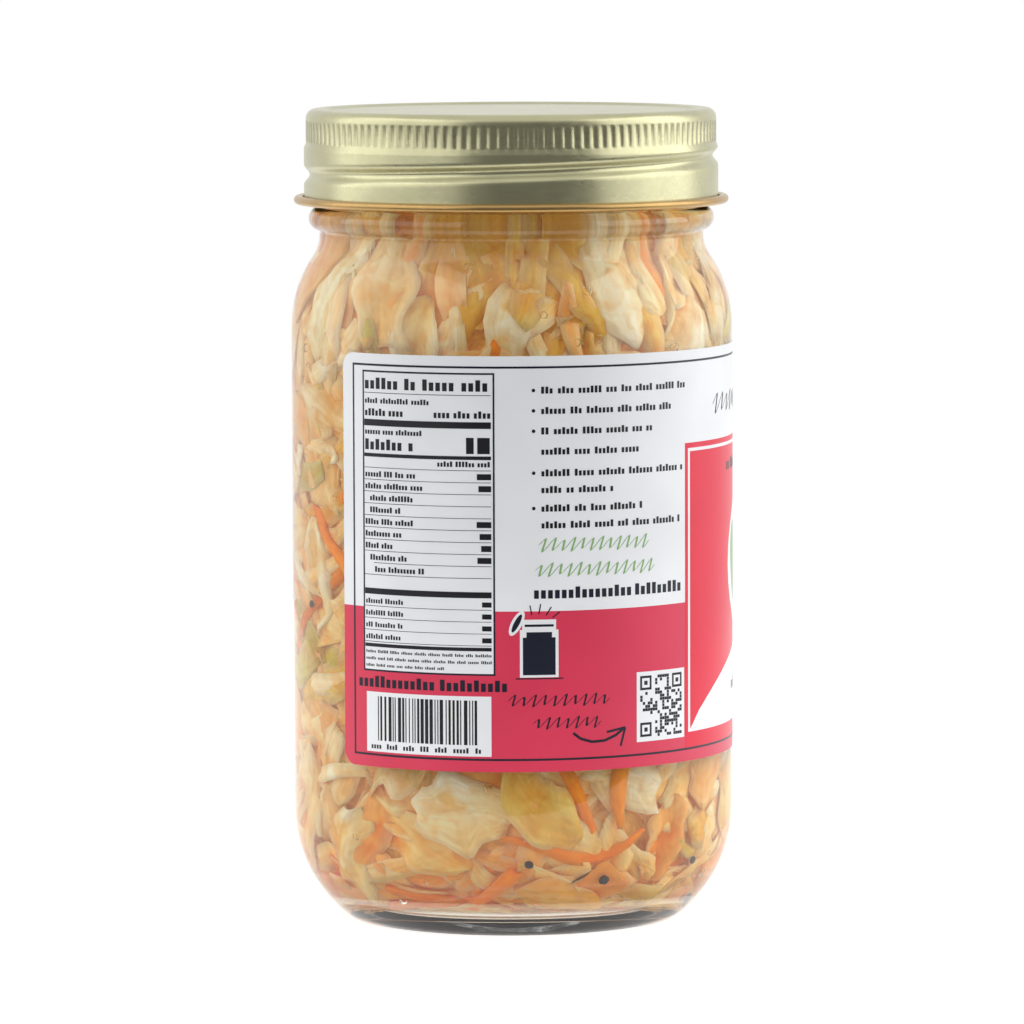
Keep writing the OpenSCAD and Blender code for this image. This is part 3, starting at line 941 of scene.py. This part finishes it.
class Print:
    """Flat shapes in one colour, in millimetres from the label's left edge and in height."""

    def __init__(self):
        self.bm = bmesh.new()

    def place(self, x, z, wide, tall, tilt=0.0):
        """Matrix that stands a flat unit shape up at a place, with a size and a tilt."""
        return (Matrix.Translation((x, 0, z)) @ Matrix.Rotation(tilt, 4, "Y")
                @ Matrix.Diagonal((wide, 1, tall, 1)) @ Matrix.Rotation(math.pi / 2, 4, "X"))

    def block(self, x0, z0, x1, z1):
        at = self.place((x0 + x1) / 2, (z0 + z1) / 2, x1 - x0, z1 - z0)
        return bmesh.ops.create_grid(self.bm, x_segments=1, y_segments=1, size=0.5,
                                     matrix=at)["verts"]

    def box(self, x0, z0, x1, z1, line):
        self.block(x0, z0, x1, z0 + line)
        self.block(x0, z1 - line, x1, z1)
        self.block(x0, z0 + line, x0 + line, z1 - line)
        self.block(x1 - line, z0 + line, x1, z1 - line)

    def disc(self, x, z, rx, rz=None, tilt=0.0):
        bmesh.ops.create_circle(self.bm, cap_ends=True, segments=24, radius=1,
                                matrix=self.place(x, z, rx, rz or rx, tilt))

    def bar(self, x0, z0, x1, z1, width):
        """Straight stroke between two points."""
        size, angle = math.hypot(x1 - x0, z1 - z0), math.atan2(z1 - z0, x1 - x0)
        at = self.place((x0 + x1) / 2, (z0 + z1) / 2, size, width, -angle)
        bmesh.ops.create_grid(self.bm, x_segments=1, y_segments=1, size=0.5, matrix=at)

    def words(self, x0, x1, z, tall, rng, gap=0.8, longest=6.5):
        """Row of plain small blocks, grouped as words are."""
        x, step = x0, 0.62 * tall
        while x < x1 - 0.4:
            end = min(x + rng.uniform(1.6, longest) * (0.6 + tall / 3), x1)
            if x1 - end < 1.4:
                end = x1
            while x < end - 0.3 * step:
                high = tall if rng.uniform() < 0.35 else 0.74 * tall
                self.block(x, z, x + 0.68 * step, z + high)
                x += step
            x += gap

    def wave(self, x0, x1, z, tall, width, turns):
        """Slanted wavy line, drawn like a ribbon."""
        n = int(turns * 10)
        new = bmesh.ops.create_grid(self.bm, x_segments=n, y_segments=1, size=0.5)["verts"]
        for v in new:
            part, side = v.co.x + 0.5, v.co.y
            phase = part * turns * TAU
            swell = 0.55 + 0.45 * abs(math.sin(phase * 0.19 + x0))
            v.co = Vector((x0 + part * (x1 - x0) + 0.3 * tall * swell * math.sin(phase)
                           + side * width, 0,
                           z + tall / 2 * swell * math.sin(phase) + side * 0.7 * width))

    def sweep(self, x0, x1, z, rise, n=24):
        """Field with a level foot and a top that rises and falls in one curve."""
        new = bmesh.ops.create_grid(self.bm, x_segments=n, y_segments=1, size=0.5)["verts"]
        for v in new:
            part = v.co.x + 0.5
            top = rise * math.sin(math.pi * part) ** 0.75 if v.co.y > 0 else 0
            v.co = Vector((x0 + part * (x1 - x0), 0, z + top))

    def curve(self, points, width):
        for (x0, z0), (x1, z1) in zip(points, points[1:]):
            self.bar(x0, z0, x1, z1, width)


def wrap(bm, label, r, name, slot, materials, thick, node=None):
    """Flat shapes cut every 1.5 mm and bent round the jar, with a thickness."""
    high = max(v.co.x for v in bm.verts)
    x = math.floor(min(v.co.x for v in bm.verts) / 1.5) * 1.5 + 1.5
    while x < high:
        bmesh.ops.bisect_plane(bm, geom=bm.verts[:] + bm.edges[:] + bm.faces[:], dist=1e-5,
                               plane_co=(x, 0, 0), plane_no=(1, 0, 0))
        x += 1.5
    for v in bm.verts:
        a = label.start + v.co.x * MM / label.ink_r
        v.co = Vector((r * math.sin(a), -r * math.cos(a), v.co.z * MM))
    bm.normal_update()
    turned = [f for f in bm.faces if f.normal.dot(f.calc_center_median() * Vector((1, 1, 0))) < 0]
    bmesh.ops.reverse_faces(bm, faces=turned)
    bmesh.ops.solidify(bm, geom=bm.faces[:], thickness=thick)
    piece = make_piece(bm, name, materials, node)
    piece.data.set_sharp_from_angle(angle=math.radians(40))
    return piece


class JAR_OT_label(Operator):
    """Cut, print and wrap the paper label: colour fields, rules, plain bars and simple shapes"""
    bl_idname = "jar.label"
    bl_label = "Label"

    def execute(self, context):
        label = context.scene.jar_label
        self.wide = label.wrap * label.ink_r / MM
        self.low, self.high, self.split = (
            z / MM for z in (label.low_z, label.high_z, label.split_z))
        rng = np.random.default_rng(5)
        # how far each ink stands above the paper, in millimetres, and its colour
        levels = {"navy": (0.022, label.navy), "black": (0.022, label.black),
                  "white": (0.016, label.white), "green": (0.02, label.green),
                  "bright": (0.01, label.bright), "leaf": (0.024, label.leaf),
                  "heart": (0.028, label.heart), "over": (0.032, label.white)}
        inks = {name: Print() for name in levels}
        paper = self.paper(label)
        self.facts(inks, rng)
        self.hints(inks, rng)
        self.front(inks, rng, 66.9)
        self.third(inks, rng, 136.0)
        materials = [coated_paper("label_paper_white", label.white),
                     coated_paper("label_paper_red", label.red)]
        wrap(paper, label, label.paper_r, "label_paper", "coated_label_paper", materials,
             0.08 * MM, "label")
        for name, (level, tone) in levels.items():
            material = materials[0] if name in ("white", "over") else coated_paper(
                "label_ink_" + name, tone, 0.33)
            wrap(inks[name].bm, label, label.paper_r + level * MM, "label_print_" + name,
                 "coated_label_paper", [material], (0.01 + 0.3 * level) * MM)
        return {"FINISHED"}

    def paper(self, label):
        """Sheet with rounded corners, white above and red below."""
        sheet = Print()
        corners = sheet.block(label.trim / MM, self.low, self.wide, self.high)
        bmesh.ops.bevel(sheet.bm, geom=corners, offset=label.corner_r / MM, segments=8,
                        profile=0.5, affect="VERTICES", material=-1)
        bmesh.ops.bisect_plane(sheet.bm, geom=sheet.bm.verts[:] + sheet.bm.edges[:]
                               + sheet.bm.faces[:], dist=1e-5, plane_co=(0, 0, self.split),
                               plane_no=(0, 0, 1))
        for face in sheet.bm.faces:
            face.material_index = int(face.calc_center_median().z < self.split)
        return sheet.bm

    def facts(self, inks, rng):
        """Left panel: ruled table, heading bar and a block of upright bars."""
        navy, black, white = inks["navy"], inks["black"], inks["white"]
        navy.block(4.1, 30.9, 4.45, 96.9)
        navy.block(4.45, 96.55, self.wide - 4, 96.9)
        navy.block(4.45, 30.9, self.wide - 4, 31.25)
        white.block(6.5, 45.3, 30.7, 57.5)
        navy.box(6.4, 45.2, 30.8, 95.8, 0.3)
        left, right = 6.95, 30.2
        for x0, x1, z, tall, gap in (
                (left, right - 0.4, 92.7, 1.9, 1.0), (left, 19.5, 90.3, 0.9, 0.5),
                (left, 14.6, 88.2, 1.2, 0.5), (20.4, right, 88.2, 1.2, 0.5),
                (left, 18.0, 85.1, 0.9, 0.4), (left, 16.9, 82.5, 1.8, 1.0),
                (21.0, right, 80.1, 0.9, 0.4)):
            black.words(x0, x1, z, tall, rng, gap)
        for z0, z1 in ((92.0, 92.1), (86.5, 87.6), (81.3, 81.9), (58.2, 59.2), (49.3, 49.9)):
            black.block(left - 0.2, z0, right, z1)
        for x0, x1 in ((26.0, 27.3), (27.9, 30.0)):
            black.block(x0, 82.3, x1, 85.0)
        for i in range(10):
            z = 79.45 - 2.0 * i
            inset = {2: 1, 3: 1, 7: 1, 8: 2}.get(i, 0)
            black.block(left - 0.2 + (2 if i == 8 else 0), z, right, z + 0.09)
            if i < 9:
                black.words(left + inset, left + inset + rng.uniform(5, 11.5), z - 1.5, 0.95,
                            rng, 0.45)
                if i not in (2, 3, 8):
                    black.block(right - rng.uniform(1.6, 2.6), z - 1.5, right, z - 0.5)
        for i in range(4):
            z = 56.3 - 2.0 * i
            black.words(left, left + rng.uniform(5, 8), z + 0.35, 0.85, rng, 0.4)
            black.block(right - 1.6, z + 0.35, right, z + 1.2)
            black.block(left - 0.2, z - 0.15, right, z - 0.05)
        for i in range(3):
            black.words(left, right - (8 if i == 2 else 0), 48.3 - 1.15 * i, 0.5, rng, 0.35, 3)
        navy.words(5.3, 32.3, 42.5, 1.9, rng, 0.7, 30)
        white.block(7.0, 31.6, 30.1, 41.7)
        x = 9.4
        while x < 27.4:
            bar = rng.choice([0.2, 0.2, 0.4, 0.6])
            black.block(x, 33.5, min(x + bar, 27.7), 41.0)
            x += bar + rng.choice([0.22, 0.3, 0.45])
        black.words(8.0, 28.6, 32.1, 0.9, rng, 1.0, 3)

    def hints(self, inks, rng):
        """Middle panel: eight rows, two green waves, a jar sign, an arrow and a white block."""
        navy, black, green, white = (inks[k] for k in ("navy", "black", "green", "white"))
        rows = ((93.0, 67.2, 1), (89.6, 63.6, 1), (86.2, 59.2, 1), (82.8, 56.0, 0),
                (79.2, 66.3, 1), (76.4, 51.5, 0), (73.3, 57.0, 1), (70.5, 65.5, 0))
        for z, end, dot in rows:
            black.words(38.6, end, z - 0.65, 1.15, rng, 0.7, 5.5)
            if dot:
                black.disc(37.3, z - 0.1, 0.3)
        for x0, x1, z, turns in ((38.2, 58.2, 67.1, 12), (37.6, 59.4, 62.9, 13)):
            green.wave(x0, x1, z, 2.3, 0.42, turns)
        navy.words(37.3, 65.8, 58.1, 1.9, rng, 0.45, 30)
        for ink, x0, z0, x1, z1 in (
                (white, 34.9, 44.9, 41.4, 52.9), (white, 35.3, 52.9, 41.0, 54.6),
                (navy, 35.4, 45.3, 40.9, 51.6), (navy, 36.0, 51.6, 40.3, 52.5),
                (navy, 35.7, 53.4, 40.6, 53.8)):
            ink.block(x0, z0, x1, z1)
        for ink, rx, rz in ((white, 2.3, 0.9), (navy, 1.7, 0.45)):
            ink.disc(34.4, 54.0, rx, rz, math.radians(-62))
        navy.bar(34.2, 44.7, 42.2, 44.7, 0.2)
        for x0, z0, x1, z1 in ((36.9, 55.4, 36.6, 57.0), (38.1, 55.5, 38.4, 57.2),
                               (39.3, 55.3, 40.2, 56.7), (40.4, 54.9, 41.6, 55.8)):
            navy.bar(x0, z0, x1, z1, 0.2)
        for x0, x1, z, turns in ((33.0, 50.4, 41.0, 10), (37.2, 48.8, 37.2, 7)):
            navy.wave(x0, x1, z, 2.0, 0.38, turns)
        navy.curve([(43.9, 35.4), (45.2, 34.4), (47.2, 33.8), (49.5, 33.9), (51.6, 34.7),
                    (53.2, 35.8)], 0.45)
        for x, z in ((49.9, 35.3), (52.5, 32.8)):
            navy.bar(x, z, 53.4, 35.9, 0.4)
        white.block(55.7, 33.2, 66.6, 45.0)
        for x, z in ((56.4, 41.9), (63.5, 41.9), (56.4, 34.0)):
            black.box(x, z, x + 2.4, z + 2.4, 0.4)
            black.block(x + 0.85, z + 0.85, x + 1.55, z + 1.55)
        for i in range(18):
            for j in range(19):
                x, z = 56.4 + 0.53 * i, 33.9 + 0.55 * j
                corner = (x < 59.3 and (z > 41.3 or z < 36.8)) or (x > 63.0 and z > 41.3)
                if not corner and rng.uniform() < 0.46:
                    black.block(x, z, x + 0.5, z + 0.5)

    def front(self, inks, rng, x):
        """Front panel: bright red field in a white frame, with a pale sweep across its foot."""
        navy, black, green, white, leaf, heart, bright, over = (
            inks[k] for k in ("navy", "black", "green", "white", "leaf", "heart", "bright",
                              "over"))
        end = x + 66.0
        bright.block(x, 31.3, end, 82.9)
        white.box(x + 0.8, 33.9, end - 0.8, 82.0, 0.55)
        mid = (x + end) / 2
        navy.wave(x + 9.2, end - 9.2, 89.0, 3.4, 0.5, 17)
        white.sweep(x + 1.4, end - 1.4, 34.4, 13.5)
        # cabbage head: overlapping round leaves with pale ribs
        cx, cz = mid, 61.0
        white.disc(cx, cz, 16.0, 13.0)
        for side in (-1, 1):
            green.disc(cx + 7.6 * side, cz - 1.0, 5.2, 8.6, 0.45 * side)
        leaf.disc(cx, cz - 3.2, 9.0, 6.6)
        heart.disc(cx, cz + 1.2, 7.2, 7.6)
        for k in range(-3, 4):
            over.curve([(cx, cz - 7.5), (cx + 1.1 * k, cz - 2.5),
                        (cx + 2.3 * k, cz + 4.6 - 0.3 * k * k)], 0.35)
        black.words(mid - 17, mid + 17, 77.2, 1.9, rng, 1.0, 9)
        black.words(mid - 13, mid + 13, 39.2, 1.9, rng, 1.0, 9)
        black.words(mid - 9, mid + 9, 36.0, 1.2, rng, 0.8, 6)

    def third(self, inks, rng, x):
        """Third panel: heading, a few rows and a row of simple round signs."""
        navy, black = inks["navy"], inks["black"]
        end = self.wide - 6
        x += 6
        navy.words(x, x + 30, 89.0, 2.2, rng, 1.0, 9)
        for i in range(9):
            black.words(x, end - rng.uniform(2, 14), 84.5 - 3.0 * i, 1.1, rng, 0.7, 6)
        for i in range(4):
            for ink, r in (("green", 4.4), ("over", 3.5), ("navy", 1.6 + 0.35 * i)):
                inks[ink].disc(x + 5.2 + 13.0 * i, 48.0, r)
        navy.words(x, end - 8, 39.0, 1.7, rng, 0.9, 8)
        navy.words(x, end - 20, 35.4, 1.3, rng, 0.8, 6)


# ---------------------------------------------------------------- the studio

LENS_MM, SENSOR_MM = 236.57, 36
EYE, AIM = Vector((-0.00005, -1.1521, 0.1773)), Vector((-0.00005, 0, 0.0691))
ROLL = math.radians(-0.2)


class JAR_OT_studio(Operator):
    """Set the pale floor, the soft lights, the surroundings and the camera"""
    bl_idname = "jar.studio"
    bl_label = "Studio"

    def softbox(self, name, azimuth, distance, wide, tall, z, power):
        """Rectangular light, in metres and in degrees from the front, facing the jar."""
        lamp = bpy.data.lights.new(name, "AREA")
        lamp.shape, lamp.size, lamp.size_y, lamp.energy = "RECTANGLE", wide, tall, power
        box = bpy.data.objects.new(name, lamp)
        a = math.radians(azimuth)
        box.location = (distance * math.sin(a), -distance * math.cos(a), z)
        box.rotation_euler = (math.radians(90), 0, a)
        box.visible_camera = False
        bpy.context.scene.collection.objects.link(box)

    def execute(self, context):
        s = context.scene.jar_studio
        bm = bmesh.new()
        bmesh.ops.create_circle(bm, cap_ends=True, segments=96, radius=s.floor_r,
                                matrix=Matrix.Translation((0, 0.5 * s.floor_r, 0)))
        mesh = bpy.data.meshes.new("floor")
        bm.to_mesh(mesh)
        bm.free()
        material, tree = new_material("floor_paper_matt")
        surface(tree, {"Base Color": rgba(s.floor), "Roughness": 0.9, "Specular IOR Level": 0.2,
                       "Emission Color": (1, 1, 1, 1), "Emission Strength": s.floor_glow},
                {"Normal": relief(tree, noise(tree, 3), 0.05, 0.1)})
        mesh.materials.append(material)
        floor = bpy.data.objects.new("floor", mesh)
        bpy.context.scene.collection.objects.link(floor)

        self.softbox("softbox_left", -70, 1.0, 1.8, 1.3, 0.68, s.left_power)
        self.softbox("softbox_right", 84, 1.1, 1.5, 1.3, 0.66, s.right_power)

        world = bpy.data.worlds.new("studio")
        world.use_nodes = True
        tree = world.node_tree
        tree.nodes.clear()
        place = add(tree, "ShaderNodeTexCoord")
        axes = add(tree, "ShaderNodeSeparateXYZ", None, {0: place.outputs["Generated"]})
        # dark at the camera's side, light behind the jar and overhead
        back = add(tree, "ShaderNodeMapRange", {1: -0.35, 2: 0.3, 3: 0.2, 4: 0.94},
                   {0: axes.outputs[1]})
        above = add(tree, "ShaderNodeMapRange", {1: 0.3, 2: 0.7, 3: 0.0, 4: 0.9},
                    {0: axes.outputs[2]})
        level = add(tree, "ShaderNodeMath", {"operation": "MAXIMUM"},
                    {0: back.outputs[0], 1: above.outputs[0]})
        path = add(tree, "ShaderNodeLightPath")
        # the camera itself sees plain white
        seen = add(tree, "ShaderNodeMath", {"operation": "MAXIMUM"},
                   {0: level.outputs[0], 1: path.outputs["Is Camera Ray"]})
        glow = add(tree, "ShaderNodeBackground", {"Color": (1, 1, 1, 1)},
                   {"Strength": seen.outputs[0]})
        add(tree, "ShaderNodeOutputWorld", None, {0: glow.outputs[0]})
        context.scene.world = world
        context.scene.view_settings.view_transform = "Standard"

        lens = bpy.data.cameras.new("camera")
        lens.sensor_width, lens.lens = SENSOR_MM, LENS_MM
        lens.clip_end = 50
        camera = bpy.data.objects.new("camera", lens)
        camera.location = EYE
        turn = (AIM - EYE).to_track_quat("-Z", "Y").to_matrix() @ Matrix.Rotation(ROLL, 3, "Z")
        camera.rotation_euler = turn.to_euler()
        bpy.context.scene.collection.objects.link(camera)
        context.scene.camera = camera
        return {"FINISHED"}


# ---------------------------------------------------------------- add-on

class JAR_PT_build(Panel):
    """Sidebar with a button for each group of pieces"""
    bl_idname = "JAR_PT_build"
    bl_label = "Sauerkraut Jar"
    bl_space_type = "VIEW_3D"
    bl_region_type = "UI"
    bl_category = "Jar"

    def draw(self, context):
        for name in ("jar.glass", "jar.filling", "jar.cap", "jar.label", "jar.studio"):
            self.layout.operator(name)


SETTINGS = (("jar_glass", JarGlassSettings), ("jar_fill", JarFillSettings),
            ("jar_cap", JarCapSettings), ("jar_label", JarLabelSettings),
            ("jar_studio", JarStudioSettings))
CLASSES = (JAR_OT_glass, JAR_OT_filling, JAR_OT_cap, JAR_OT_label, JAR_OT_studio, JAR_PT_build)


def register():
    for name, group in SETTINGS:
        bpy.utils.register_class(group)
        setattr(bpy.types.Scene, name, PointerProperty(type=group))
    for item in CLASSES:
        bpy.utils.register_class(item)


def unregister():
    for item in reversed(CLASSES):
        bpy.utils.unregister_class(item)
    for name, group in reversed(SETTINGS):
        delattr(bpy.types.Scene, name)
        bpy.utils.unregister_class(group)


def main():
    """Build everything."""
    register()
    for build in (bpy.ops.jar.glass, bpy.ops.jar.filling, bpy.ops.jar.cap,
                  bpy.ops.jar.label, bpy.ops.jar.studio):
        build()


if __name__ == "__main__":
    main()
